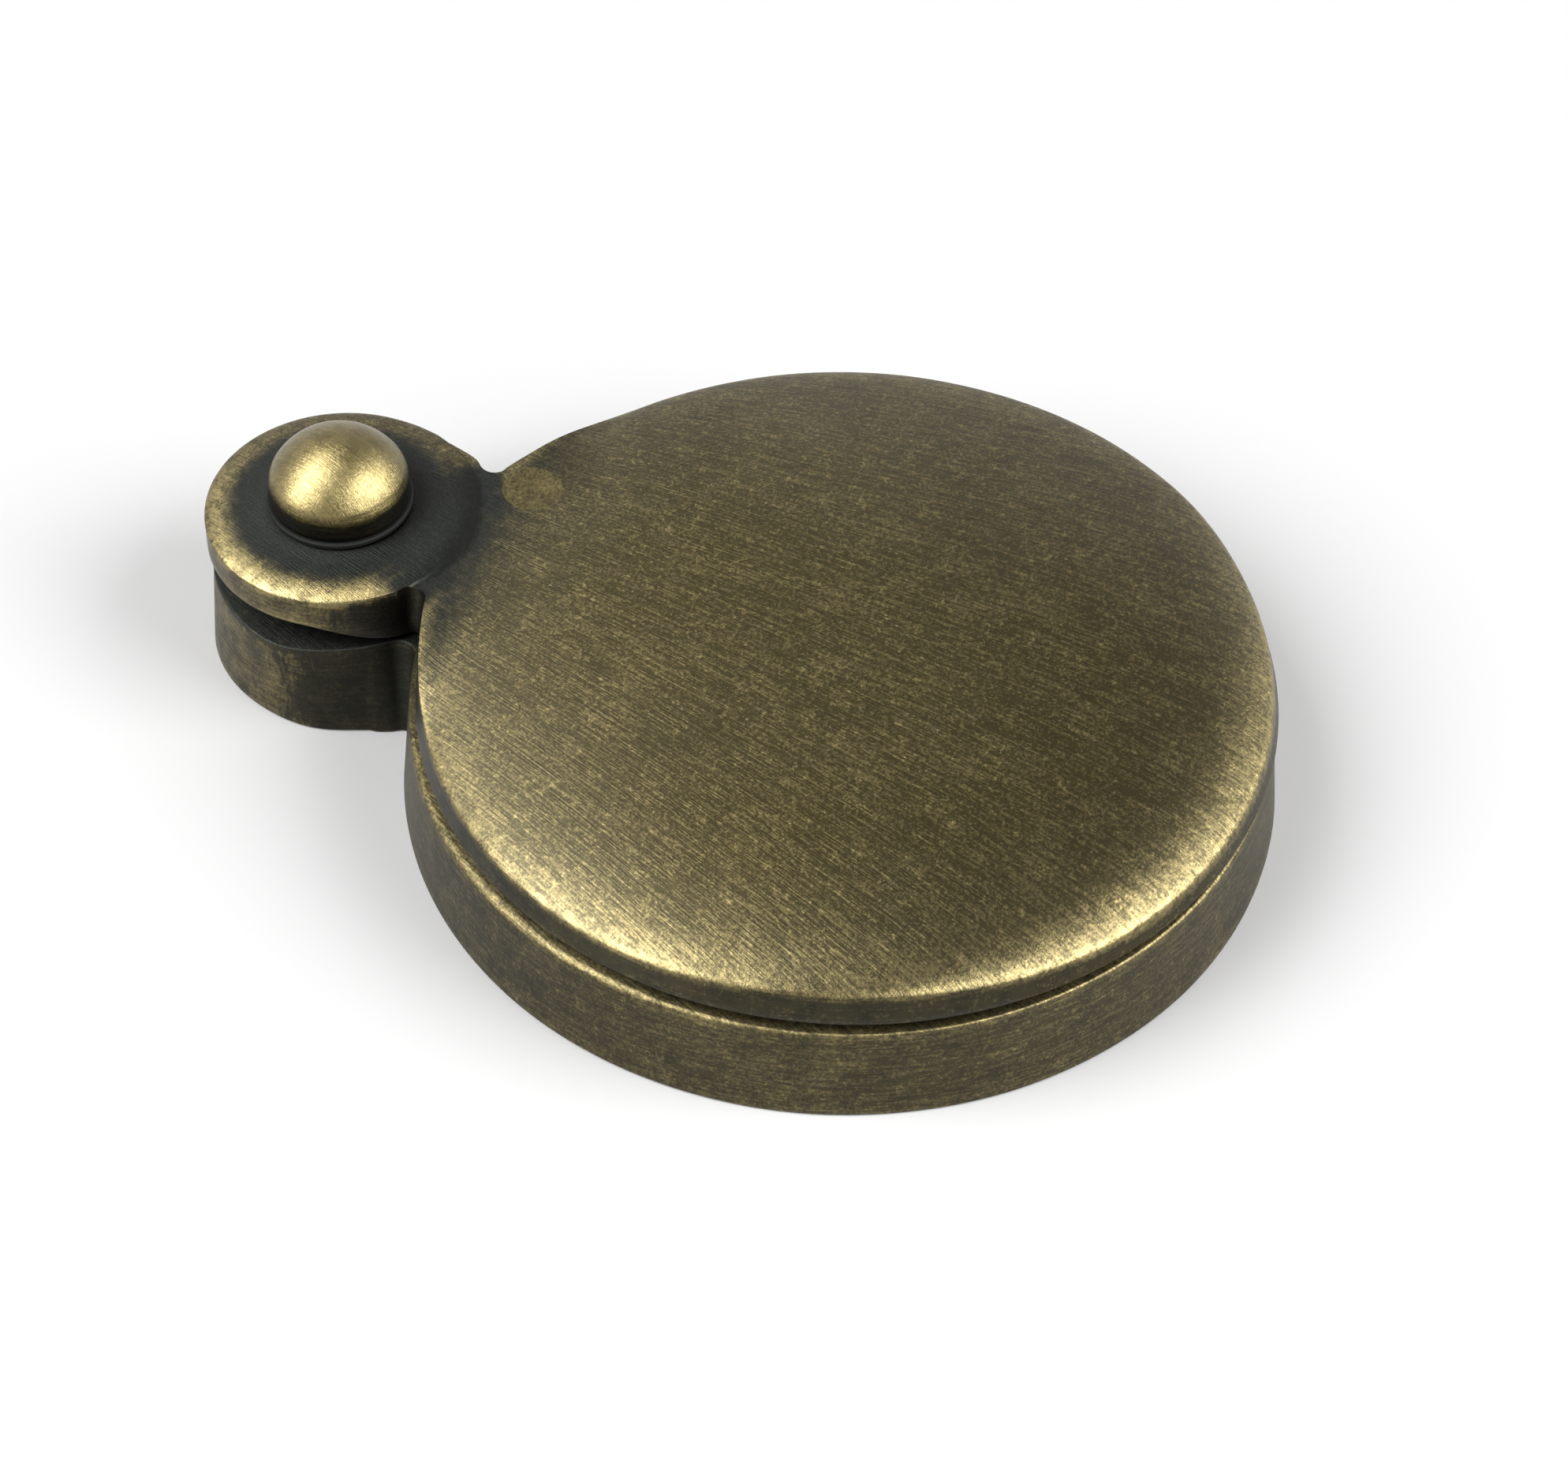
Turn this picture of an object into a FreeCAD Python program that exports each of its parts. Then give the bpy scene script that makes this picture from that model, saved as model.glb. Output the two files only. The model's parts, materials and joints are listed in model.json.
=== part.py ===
"""Covered keyhole escutcheon: a round brass plate whose swing cover turns on a domed rivet.

Millimetres. +Z is the front. The origin is the middle of the plate's disc on its back face, and
the pivot lobe lies along +Y, which is up on the door. The model is at rest with the cover closed.
"""
import FreeCAD, Part
import math
import os

# Driving dimensions
PLATE_R = 17.0           # disc of the base plate, at the back
PLATE_FRONT_R = 16.6     # its side leans inwards towards the front
PLATE_T = 4.2
PLATE_BEVEL = 0.2        # worn bevel round the front edge of the disc
PIVOT_Y = 20.9           # pivot axis from the middle of the disc
LOBE_R = 5.5             # pivot lobe of the base plate, at the back
LOBE_FRONT_R = 5.2
LOBE_BEVEL = 0.15
PLATE_NOTCH_R = 1.9      # fillet in the notches between lobe and disc, at the plate's back
NOTCH_R = 0.7            # the same at the plate's front, and in the cover's notch on the -X side
FAR_NOTCH_R = 1.6        # the cover's notch on the +X side is filled out more

COVER_GAP = 0.25         # plate's front face to the cover's back face
COVER_R = 16.5
COVER_Y = -0.2           # the cover's disc sits this little lower than the plate's
COVER_LOBE_R = 5.35
COVER_LEAN = 0.2         # how far the side of the cover's discs leans inwards
COVER_BAND = 1.55        # height of the cover's side, from its back face to its shoulder
COVER_BEVEL = 0.35       # bevel round the back edge of the cover's disc
CROWN_H = 1.2            # from the top of the cover's side to the middle of its face
LOBE_BAND = 2.3
COVER_LOBE_BEVEL = 1.0
LOBE_CROWN_H = 0.45
PILLOW_POWER = 4         # superellipse: a nearly flat face that rounds off at the rim
PILLOW_SHOULDER = 1.2    # 1 would be upright at the shoulder; more makes a crisper edge there
PILLOW_STEPS = 8
NECK_DROP = 0.3          # the neck's top is this much lower than the lobe's

SHANK_R = 1.5            # pivot rivet
BORE_PLAY = 0.05         # radial running clearance of the cover on the shank
AXIAL_PLAY = 0.05        # the cover's play between its two washers
HEAD_R = 2.72
SKIRT_H = 1.05           # straight skirt under the dome
DOME_H = 1.75
TAIL_R = 2.4             # peened tail in its countersink
TAIL_DEPTH = 0.9
TAIL_INSET = 0.05        # the peened tail stays this much inside the back face

HEAD_WASHER_R = 2.85
HEAD_WASHER_T = 0.25
THRUST_WASHER_R = 3.4

STOP_RADIUS = 7.5        # stop pin's distance from the pivot
STOP_ANGLE = 28.5        # its angle off the line from the pivot to the disc's middle, towards +X
STOP_HEAD_R = 1.2        # the end riveted into the cover
STOP_PEG_R = 0.9         # the peg that runs in the plate's relief
RELIEF_DEPTH = 1.7
RELIEF_CLEARANCE = 0.2
PEG_FLOOR_GAP = 0.3      # peg's tip to the floor of the relief
STOP_GAP = 0.03          # peg to the closed end of the relief, at rest
RELIEF_SWEEP = 42.0      # the relief runs from the peg's rest out through the plate's edge

KEYHOLE_R = 4.25         # round part of the keyhole
KEYHOLE_Y = 3.5
SLOT_W = 4.6
SLOT_BOTTOM_Y = -8.5
KEYHOLE_BEVEL = 0.4

SCREW_X = 11.75          # two fixing holes, left and right of the keyhole
SCREW_R = 1.6
SCREW_HEAD_R = 3.0       # 90 degree countersink

COVER_BACK = PLATE_T + COVER_GAP
DISC_TOP = COVER_BACK + COVER_BAND + CROWN_H
LOBE_TOP = COVER_BACK + LOBE_BAND + LOBE_CROWN_H
HEAD_FOOT = LOBE_TOP + AXIAL_PLAY + HEAD_WASHER_T
CUT_EXTRA = 1.0          # how far cutting tools run past the faces they cut
UP = FreeCAD.Vector(0, 0, 1)


def vec(x, y, z=0.0):
    return FreeCAD.Vector(x, y, z)


def cylinder(radius, low, high, x=0.0, y=0.0):
    return Part.makeCylinder(radius, high - low, vec(x, y, low), UP)


def revolved(edges, x, y):
    """Turns a closed profile drawn in the XZ plane about Z, then moves it to its axis at x, y."""
    face = Part.Face(Part.Wire(edges))
    solid = face.revolve(vec(0, 0), UP, 360)
    solid.translate(vec(x, y))
    return solid


def lines(points):
    """Straight edges from each (radius, height) to the next."""
    corners = [vec(r, 0, z) for r, z in points]
    return [Part.makeLine(a, b) for a, b in zip(corners, corners[1:])]


def pillow_curve(radius, low, rise):
    """The rounded face of a cover disc, from its shoulder at (radius, low) to (0, low + rise)."""
    points = []
    for step in range(PILLOW_STEPS + 1):
        turn = math.pi / 2 * step / PILLOW_STEPS
        inward = max(math.cos(turn), 0) ** (2 / PILLOW_POWER)
        points.append(vec(radius * inward, 0, low + rise * math.sin(turn) ** PILLOW_SHOULDER))
    points[-1] = vec(0, 0, low + rise)
    curve = Part.BSplineCurve()
    curve.interpolate(points)
    return curve.toShape()


def notch_points(disc_r, disc_y, lobe_r, notch_r, side):
    """Where a notch fillet touches the lobe, its inmost point, and where it touches the disc."""
    to_lobe = lobe_r + notch_r
    to_disc = disc_r + notch_r
    span = PIVOT_Y - disc_y
    along = (to_disc ** 2 - to_lobe ** 2 + span ** 2) / (2 * span)
    centre = vec(side * math.sqrt(to_disc ** 2 - along ** 2), disc_y + along)
    pivot = vec(0, PIVOT_Y)
    middle = vec(0, disc_y)
    on_lobe = pivot + (centre - pivot) * (lobe_r / to_lobe)
    on_disc = middle + (centre - middle) * (disc_r / to_disc)
    inmost = centre - vec(side * notch_r, 0)
    return on_lobe, inmost, on_disc


def neck_outline(disc_r, disc_y, lobe_r, left_r, right_r, z):
    """Outline of the web between disc and lobe, with a fillet in each notch."""
    right = [p + vec(0, 0, z) for p in notch_points(disc_r, disc_y, lobe_r, right_r, 1)]
    left = [p + vec(0, 0, z) for p in notch_points(disc_r, disc_y, lobe_r, left_r, -1)]
    return Part.Wire([
        Part.Arc(*right).toShape(),
        Part.makeLine(right[2], left[2]),
        Part.Arc(*reversed(left)).toShape(),
        Part.makeLine(left[0], right[0]),
    ])


def plate_neck():
    """The plate's web, wider at the back than at the front like its two discs."""
    back = neck_outline(PLATE_R, 0, LOBE_R, PLATE_NOTCH_R, PLATE_NOTCH_R, 0)
    front = neck_outline(PLATE_FRONT_R, 0, LOBE_FRONT_R, NOTCH_R, NOTCH_R, PLATE_T)
    return Part.makeLoft([back, front], True, True)


def cover_neck():
    high = LOBE_TOP - NECK_DROP
    outline = neck_outline(COVER_R, COVER_Y, COVER_LOBE_R, NOTCH_R, FAR_NOTCH_R, COVER_BACK)
    return Part.Face(outline).extrude(UP * (high - COVER_BACK))


def bevelled_disc(radius, front_r, y, bevel):
    """A disc of the plate that leans inwards, with its worn bevel at the front edge."""
    profile = [(0, 0), (radius, 0), (front_r, PLATE_T - bevel), (front_r - bevel, PLATE_T),
               (0, PLATE_T), (0, 0)]
    return revolved(lines(profile), 0, y)


def keyhole_cut():
    """The keyhole right through: a round with a slot below it, bevelled at the front."""
    slot_r = SLOT_W / 2
    foot = SLOT_BOTTOM_Y + slot_r
    length = KEYHOLE_Y - foot
    wide = slot_r + KEYHOLE_BEVEL + CUT_EXTRA
    floor = PLATE_T - KEYHOLE_BEVEL
    above = PLATE_T + CUT_EXTRA
    corners = [(-slot_r, floor), (slot_r, floor), (wide, above), (-wide, above), (-slot_r, floor)]
    slot_bevel = Part.Face(Part.makePolygon([vec(x, foot, z) for x, z in corners])).extrude(vec(0, length))
    grow = KEYHOLE_BEVEL + CUT_EXTRA
    return cylinder(KEYHOLE_R, -CUT_EXTRA, above, 0, KEYHOLE_Y).fuse([
        cylinder(slot_r, -CUT_EXTRA, above, 0, foot),
        Part.makeBox(SLOT_W, length, above + CUT_EXTRA, vec(-slot_r, foot, -CUT_EXTRA)),
        Part.makeCone(KEYHOLE_R, KEYHOLE_R + grow, grow, vec(0, KEYHOLE_Y, floor), UP),
        Part.makeCone(slot_r, wide, grow, vec(0, foot, floor), UP),
        slot_bevel,
    ])


def screw_cut(x):
    sink = SCREW_HEAD_R - SCREW_R
    cone = Part.makeCone(SCREW_R, SCREW_HEAD_R, sink, vec(x, 0, PLATE_T - sink), UP)
    mouth = cylinder(SCREW_HEAD_R, PLATE_T, PLATE_T + CUT_EXTRA, x)
    return cylinder(SCREW_R, -CUT_EXTRA, PLATE_T + CUT_EXTRA, x).fuse([cone, mouth])


def stop_place(angle):
    """A point on the stop pin's circle, at an angle off the line down to the disc's middle."""
    turn = math.radians(angle)
    return vec(STOP_RADIUS * math.sin(turn), PIVOT_Y - STOP_RADIUS * math.cos(turn))


def relief_cut():
    """The curved pocket for the stop pin's peg, closed at rest and open through the far edge."""
    half = STOP_PEG_R + RELIEF_CLEARANCE
    low = PLATE_T - RELIEF_DEPTH
    high = PLATE_T + CUT_EXTRA
    closed_at = STOP_ANGLE + math.degrees((RELIEF_CLEARANCE - STOP_GAP) / STOP_RADIUS)
    ring = cylinder(STOP_RADIUS + half, low, high, 0, PIVOT_Y)
    ring = ring.cut(cylinder(STOP_RADIUS - half, low - CUT_EXTRA, high + CUT_EXTRA, 0, PIVOT_Y))
    reach = 2 * (STOP_RADIUS + half)  # far enough to span the ring between the two rays
    pivot = vec(0, PIVOT_Y, low)
    first = math.radians(closed_at)
    last = math.radians(closed_at + RELIEF_SWEEP)
    corners = [pivot] + [pivot + vec(reach * math.sin(a), -reach * math.cos(a)) for a in (first, last)]
    wedge = Part.Face(Part.makePolygon(corners + [pivot])).extrude(UP * (high - low))
    end = stop_place(closed_at)
    return ring.common(wedge).fuse(cylinder(half, low, high, end.x, end.y))


def base_plate():
    solid = bevelled_disc(PLATE_R, PLATE_FRONT_R, 0, PLATE_BEVEL).fuse([
        bevelled_disc(LOBE_R, LOBE_FRONT_R, PIVOT_Y, LOBE_BEVEL),
        plate_neck(),
    ])
    tail_sink = Part.makeCone(TAIL_R, SHANK_R, TAIL_DEPTH, vec(0, PIVOT_Y, 0), UP)
    bore = cylinder(SHANK_R, -CUT_EXTRA, PLATE_T + CUT_EXTRA, 0, PIVOT_Y)
    cuts = [keyhole_cut(), screw_cut(SCREW_X), screw_cut(-SCREW_X), relief_cut(), tail_sink, bore]
    return solid.removeSplitter().cut(cuts)


def pillow(radius, y, band, bevel, crown):
    """A cover disc: bevelled back edge, leaning band, and a face that rounds off at the rim."""
    band_top = COVER_BACK + band
    shoulder_r = radius - COVER_LEAN
    edges = lines([(0, COVER_BACK), (radius - bevel, COVER_BACK), (radius, COVER_BACK + bevel),
                   (shoulder_r, band_top)])
    edges.append(pillow_curve(shoulder_r, band_top, crown))
    edges += lines([(0, band_top + crown), (0, COVER_BACK)])
    return revolved(edges, 0, y)


def cover_disc():
    return pillow(COVER_R, COVER_Y, COVER_BAND, COVER_BEVEL, CROWN_H)


def cover_lobe():
    return pillow(COVER_LOBE_R, PIVOT_Y, LOBE_BAND, COVER_LOBE_BEVEL, LOBE_CROWN_H)


def swing_cover():
    pin = stop_place(STOP_ANGLE)
    cuts = [
        cylinder(SHANK_R + BORE_PLAY, 0, LOBE_TOP + CUT_EXTRA, 0, PIVOT_Y),
        cylinder(STOP_HEAD_R, 0, DISC_TOP + CUT_EXTRA, pin.x, pin.y),
    ]
    return cover_disc().fuse([cover_lobe(), cover_neck()]).cut(cuts)


def pivot_rivet():
    """Domed head on a short skirt, a shank through cover and plate, and a peened tail at the back."""
    sphere_r = (HEAD_R ** 2 + DOME_H ** 2) / (2 * DOME_H)
    crown = HEAD_FOOT + SKIRT_H + DOME_H
    mid_r = HEAD_R / 2
    mid_z = crown - sphere_r + math.sqrt(sphere_r ** 2 - mid_r ** 2)
    edges = lines([(0, TAIL_INSET), (TAIL_R - TAIL_INSET, TAIL_INSET), (SHANK_R, TAIL_DEPTH),
                   (SHANK_R, HEAD_FOOT), (HEAD_R, HEAD_FOOT), (HEAD_R, HEAD_FOOT + SKIRT_H)])
    dome = Part.Arc(vec(HEAD_R, 0, HEAD_FOOT + SKIRT_H), vec(mid_r, 0, mid_z), vec(0, 0, crown))
    edges.append(dome.toShape())
    edges += lines([(0, crown), (0, TAIL_INSET)])
    return revolved(edges, 0, PIVOT_Y)


def washer(outer_r, low, high):
    return cylinder(outer_r, low, high, 0, PIVOT_Y).cut(cylinder(SHANK_R, low, high, 0, PIVOT_Y))


def stop_pin():
    """Riveted flush with the cover's face; its thinner peg hangs into the plate's relief."""
    place = stop_place(STOP_ANGLE)
    blank = cylinder(STOP_HEAD_R, COVER_BACK, DISC_TOP + CUT_EXTRA, place.x, place.y)
    tip = PLATE_T - RELIEF_DEPTH + PEG_FLOOR_GAP
    return blank.common(cover_disc()).fuse(cylinder(STOP_PEG_R, tip, COVER_BACK, place.x, place.y))


PARTS = {
    "base_plate": base_plate,
    "swing_cover": swing_cover,
    "pivot_rivet": pivot_rivet,
    "head_washer": lambda: washer(HEAD_WASHER_R, LOBE_TOP + AXIAL_PLAY, HEAD_FOOT),
    "thrust_washer": lambda: washer(THRUST_WASHER_R, PLATE_T, COVER_BACK - AXIAL_PLAY),
    "stop_pin": stop_pin,
}

os.makedirs("parts", exist_ok=True)
for node, make in PARTS.items():
    shape = make()
    shape.exportStep(f"parts/{node}.step")
    print(node, "solids", len(shape.Solids), "valid", shape.isValid(), "volume", round(shape.Volume, 2))
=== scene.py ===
"""Looks of the covered keyhole escutcheon: camera, studio, detailed meshes and aged brass.

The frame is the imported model's: metres, +Z out of the front, +Y from the disc to the pivot lobe.
Shapes are worked out in millimetres and written to the meshes in metres.
"""
import bpy
import json
import math
import numpy as np
from mathutils import Matrix, Vector, noise
from mathutils.geometry import delaunay_2d_cdt


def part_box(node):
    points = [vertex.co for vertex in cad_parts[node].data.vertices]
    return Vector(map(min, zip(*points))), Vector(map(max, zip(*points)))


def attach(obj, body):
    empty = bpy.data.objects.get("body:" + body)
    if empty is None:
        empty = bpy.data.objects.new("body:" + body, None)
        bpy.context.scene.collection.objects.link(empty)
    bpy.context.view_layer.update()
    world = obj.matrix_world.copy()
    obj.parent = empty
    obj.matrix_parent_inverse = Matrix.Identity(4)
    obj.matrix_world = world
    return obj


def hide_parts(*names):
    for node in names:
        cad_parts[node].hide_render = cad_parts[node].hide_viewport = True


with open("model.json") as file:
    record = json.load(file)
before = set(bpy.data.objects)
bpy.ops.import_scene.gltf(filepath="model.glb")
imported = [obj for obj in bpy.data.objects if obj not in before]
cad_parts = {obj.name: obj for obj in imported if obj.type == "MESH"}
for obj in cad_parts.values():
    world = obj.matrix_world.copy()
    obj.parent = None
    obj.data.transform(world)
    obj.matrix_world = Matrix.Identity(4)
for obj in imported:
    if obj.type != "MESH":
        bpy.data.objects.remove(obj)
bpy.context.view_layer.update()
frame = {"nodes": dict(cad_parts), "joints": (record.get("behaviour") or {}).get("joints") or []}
MM = 0.001

# Sizes read from the frame, in millimetres
plate_low, plate_high = (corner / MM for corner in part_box("base_plate"))
cover_low, cover_high = (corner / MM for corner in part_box("swing_cover"))
rivet_low, rivet_high = (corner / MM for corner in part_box("pivot_rivet"))
washer_low, washer_high = (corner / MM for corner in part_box("head_washer"))
pin_low, pin_high = (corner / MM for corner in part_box("stop_pin"))
PIVOT_Y = frame["joints"][0]["pos_m"][1] / MM
PLATE_R = plate_high.x
PLATE_T = plate_high.z
PLATE_LOBE_R = plate_high.y - PIVOT_Y
COVER_R = cover_high.x
COVER_Y = cover_low.y + COVER_R
COVER_LOBE_R = cover_high.y - PIVOT_Y
COVER_BACK = cover_low.z
HEAD_R = rivet_high.x
PIN_X = (pin_low.x + pin_high.x) / 2
PIN_Y = (pin_low.y + pin_high.y) / 2
PIN_R = (pin_high.x - pin_low.x) / 2

# Sizes that the frame doesn't give, in millimetres; they are the CAD model's
NOTCH_R = 0.7            # the notches between lobe and disc, at the plate's front
PLATE_FRONT_R = 16.6
PLATE_LOBE_FRONT_R = 5.2
COVER_LEAN = 0.2
COVER_BAND = 1.55
COVER_CROWN = 1.2
LOBE_BAND = 2.3
LOBE_CROWN = 0.45
NECK_DROP = 0.3
PILLOW_POWER = 4
SHANK_R = 1.5
BORE_R = 1.55
TAIL_R = 2.4
TAIL_DEPTH = 0.9
SKIRT_H = 1.05
PEG_R = 0.9
STOP_RADIUS = 7.5
STOP_ANGLE = 28.5
RELIEF_FLOOR = PLATE_T - 1.7
RELIEF_HALF = 1.1
RELIEF_SWEEP = 42.0
KEYHOLE_R = 4.25
KEYHOLE_Y = 3.5
SLOT_HALF = 2.3
SLOT_END_Y = -6.2
KEYHOLE_BEVEL = 0.4
SCREW_X = 11.75
SCREW_R = 1.6
SCREW_HEAD_R = 3.0

# Camera: where it stands about the disc's middle, in degrees and millimetres
CAMERA_AZIMUTH = -69.84
CAMERA_ELEVATION = 47.61
CAMERA_ROLL = -1.01
CAMERA_DISTANCE = 170.0
CAMERA_SIDEWAYS = 2.164
CAMERA_UPWARDS = 1.528
CAMERA_LENS = 99.95
SENSOR_WIDTH = 36.0

# Studio: metres, watts, and directions seen by the camera as right, away and up
WORLD_LEFT = 1.05
WORLD_RIGHT = 0.80
WORLD_HORIZON = 1.3
WORLD_OVERHEAD = 0.45
FLOOR_HALF = 3.0
FLOOR_LEVEL = -0.00002
FLOOR_GREY = 0.235
SOFTBOX_DISTANCE = 0.5
LEFT_SOFTBOX = {"direction": (-0.68, -0.22, 0.70), "width": 0.36, "height": 0.46, "power": 8.2}
RIGHT_SOFTBOX = {"direction": (0.75, -0.24, 0.62), "width": 0.36, "height": 0.42, "power": 7.6}

# Hand finishing of the visual meshes, in millimetres
CORNER_R = 0.45          # the cover's notches and those at the plate's back, before the fills below
WANDER = 0.06            # how far the outlines wander
COVER_FILL = 0.75        # the +X notch of the cover is this much shallower than two circles make it
PLATE_FILL = 0.45        # the same for both notches at the plate's back
RIGHT_DROP = 0.6         # how much lower the disc's shoulder is polished between -X and -Y
LEFT_DROP = 0.35         # the same on the -X side towards the lobe
DISH_DEPTH = 0.05        # the dish round the rivet's head
DISC_SOFTNESS = 0.6      # how round the shoulder of the disc is; 0.5 is an even curve
LOBE_SOFTNESS = 0.5
NECK_FADE = (0.9, 13.0)  # from here to there the neck's saddle falls to the cover's back
SHOULDER_REACH = 2.6
SHOULDER_STEPS = 22
FACE_SPACING = 0.25
BACK_SPACING = 1.2
PLATE_FOOT = 0.12        # radius of the plate's back edge
LEAST_BEVEL = 0.09       # the plate's front bevel where it is least worn
SOFT_EDGE = 0.06

# How finely the meshes are divided: points along each stretch of an outline, circles, and a dome's rings
DISC_POINTS = 620
LOBE_POINTS = 250
NOTCH_POINTS = 26
ROUND_POINTS = 96
HOLE_POINTS = 64
DOME_RINGS = 26


# ---------------------------------------------------------------- camera and studio

def stage_turn():
    """Turns directions seen by the camera (right, away, up) into the frame's."""
    return Matrix.Rotation(math.radians(CAMERA_AZIMUTH), 3, "Z")


def add_camera():
    elevation = math.radians(CAMERA_ELEVATION)
    roll = math.radians(CAMERA_ROLL)
    right = Vector((1, 0, 0))
    forward = Vector((0, math.cos(elevation), -math.sin(elevation)))
    down = right.cross(forward) * -1
    rolled_right = right * math.cos(roll) + down * math.sin(roll)
    rolled_down = down * math.cos(roll) - right * math.sin(roll)
    away = rolled_right * CAMERA_SIDEWAYS + rolled_down * CAMERA_UPWARDS + forward * CAMERA_DISTANCE
    turn = stage_turn()
    axes = [turn @ v for v in (rolled_right, -rolled_down, -forward)]
    data = bpy.data.cameras.new("camera")
    data.lens = CAMERA_LENS
    data.sensor_width = SENSOR_WIDTH
    data.clip_start = 0.01
    camera = bpy.data.objects.new("camera", data)
    bpy.context.scene.collection.objects.link(camera)
    pose = Matrix(axes).transposed().to_4x4()
    pose.translation = turn @ (-away) * MM
    camera.matrix_world = pose
    bpy.context.scene.camera = camera


def add_softbox(name, direction, width, height, power):
    """An area light that looks at the object from a direction given as right, away and up."""
    data = bpy.data.lights.new(name, "AREA")
    data.shape = "RECTANGLE"
    data.size = width
    data.size_y = height
    data.energy = power
    light = bpy.data.objects.new(name, data)
    bpy.context.scene.collection.objects.link(light)
    place = stage_turn() @ Vector(direction).normalized() * SOFTBOX_DISTANCE
    light.location = place
    light.rotation_euler = place.to_track_quat("Z", "Y").to_euler()


def add_world():
    """A white room whose strength changes from left to right and from the horizon upwards."""
    world = bpy.data.worlds.new("studio")
    world.use_nodes = True
    tree = world.node_tree
    place = tree.nodes.new("ShaderNodeTexCoord")
    across = tree.nodes.new("ShaderNodeVectorMath")
    across.operation = "DOT_PRODUCT"
    across.inputs[1].default_value = stage_turn() @ Vector((1, 0, 0))
    strength = tree.nodes.new("ShaderNodeMapRange")
    strength.inputs["From Min"].default_value = -1
    strength.inputs["To Min"].default_value = WORLD_LEFT
    strength.inputs["To Max"].default_value = WORLD_RIGHT
    tree.links.new(place.outputs["Generated"], across.inputs[0])
    tree.links.new(across.outputs["Value"], strength.inputs["Value"])
    height = tree.nodes.new("ShaderNodeSeparateXYZ")
    rise = tree.nodes.new("ShaderNodeMapRange")
    rise.inputs["From Min"].default_value = 0.25
    rise.inputs["From Max"].default_value = 1.0
    rise.inputs["To Min"].default_value = WORLD_HORIZON
    rise.inputs["To Max"].default_value = WORLD_OVERHEAD
    product = tree.nodes.new("ShaderNodeMath")
    product.operation = "MULTIPLY"
    tree.links.new(place.outputs["Generated"], height.inputs[0])
    tree.links.new(height.outputs["Z"], rise.inputs["Value"])
    tree.links.new(strength.outputs["Result"], product.inputs[0])
    tree.links.new(rise.outputs["Result"], product.inputs[1])
    tree.links.new(product.outputs[0], tree.nodes["Background"].inputs["Strength"])
    tree.nodes["Background"].inputs["Color"].default_value = (1, 1, 1, 1)
    bpy.context.scene.world = world


def add_floor():
    mesh = bpy.data.meshes.new("floor")
    signs = ((-1, -1), (1, -1), (1, 1), (-1, 1))
    corners = [(x * FLOOR_HALF, y * FLOOR_HALF, FLOOR_LEVEL) for x, y in signs]
    mesh.from_pydata(corners, [], [(0, 1, 2, 3)])
    floor = bpy.data.objects.new("floor", mesh)
    bpy.context.scene.collection.objects.link(floor)
    material = bpy.data.materials.new("white_sweep")
    material.use_nodes = True
    shader = material.node_tree.nodes["Principled BSDF"]
    shader.inputs["Base Color"].default_value = (FLOOR_GREY, FLOOR_GREY, FLOOR_GREY, 1)
    shader.inputs["Roughness"].default_value = 0.8
    mesh.materials.append(material)


# ---------------------------------------------------------------- outlines

def arc(centre, radius, first, last, count, outward):
    """Points and outward normals along an arc, without its last point."""
    turns = first + (last - first) * np.arange(count) / count
    rays = np.stack([np.cos(turns), np.sin(turns)], 1)
    return np.array(centre) + rays * radius, rays * outward


def notch_centre(disc_r, disc_y, lobe_r, notch_r):
    """Middle of the notch fillet on the +X side."""
    span = PIVOT_Y - disc_y
    to_disc = disc_r + notch_r
    to_lobe = lobe_r + notch_r
    along = (to_disc ** 2 - to_lobe ** 2 + span ** 2) / (2 * span)
    return math.sqrt(to_disc ** 2 - along ** 2), disc_y + along


def outline(disc_r, disc_y, lobe_r, notch_r):
    """The outline of plate or cover, anticlockwise from the -X notch: points and outward normals.
    Every outline has the same number of points, so that two of them can be joined."""
    x, y = notch_centre(disc_r, disc_y, lobe_r, notch_r)
    on_disc = math.atan2(y - disc_y, x)
    on_lobe = math.atan2(y - PIVOT_Y, x)
    pieces = [
        arc((0, disc_y), disc_r, math.pi - on_disc, 2 * math.pi + on_disc, DISC_POINTS, 1),
        arc((x, y), notch_r, on_disc + math.pi, on_lobe + math.pi, NOTCH_POINTS, -1),
        arc((0, PIVOT_Y), lobe_r, on_lobe, math.pi - on_lobe, LOBE_POINTS, 1),
        arc((-x, y), notch_r, -on_lobe, -on_disc, NOTCH_POINTS, -1),
    ]
    return np.concatenate([p for p, n in pieces]), np.concatenate([n for p, n in pieces])


def off_notch(points, disc_r, disc_y, lobe_r, notch_r):
    """Each point's distance from the nearer notch's inmost point."""
    x, y = notch_centre(disc_r, disc_y, lobe_r, notch_r)
    inmost = np.array([(x - notch_r, y), (notch_r - x, y)])
    return np.linalg.norm(points[:, None, :2] - inmost[None], axis=2).min(1)


def smooth_step(low, high, value):
    t = np.clip((value - low) / (high - low), 0, 1)
    return t * t * (3 - 2 * t)


def wander(points, size, seed):
    """Slow noise from 0 to 1 at each point, with features about size millimetres across."""
    return np.array([0.5 + 0.5 * noise.noise(Vector((x / size, y / size, seed))) for x, y in points])


def nearest(points, edge):
    """How far each point is from the outline's nearest point, and that point's number."""
    found = [((edge - p) ** 2).sum(1) for p in points]
    numbers = np.array([f.argmin() for f in found])
    return np.sqrt(np.array([f.min() for f in found])), numbers


# ---------------------------------------------------------------- mesh helpers

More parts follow.
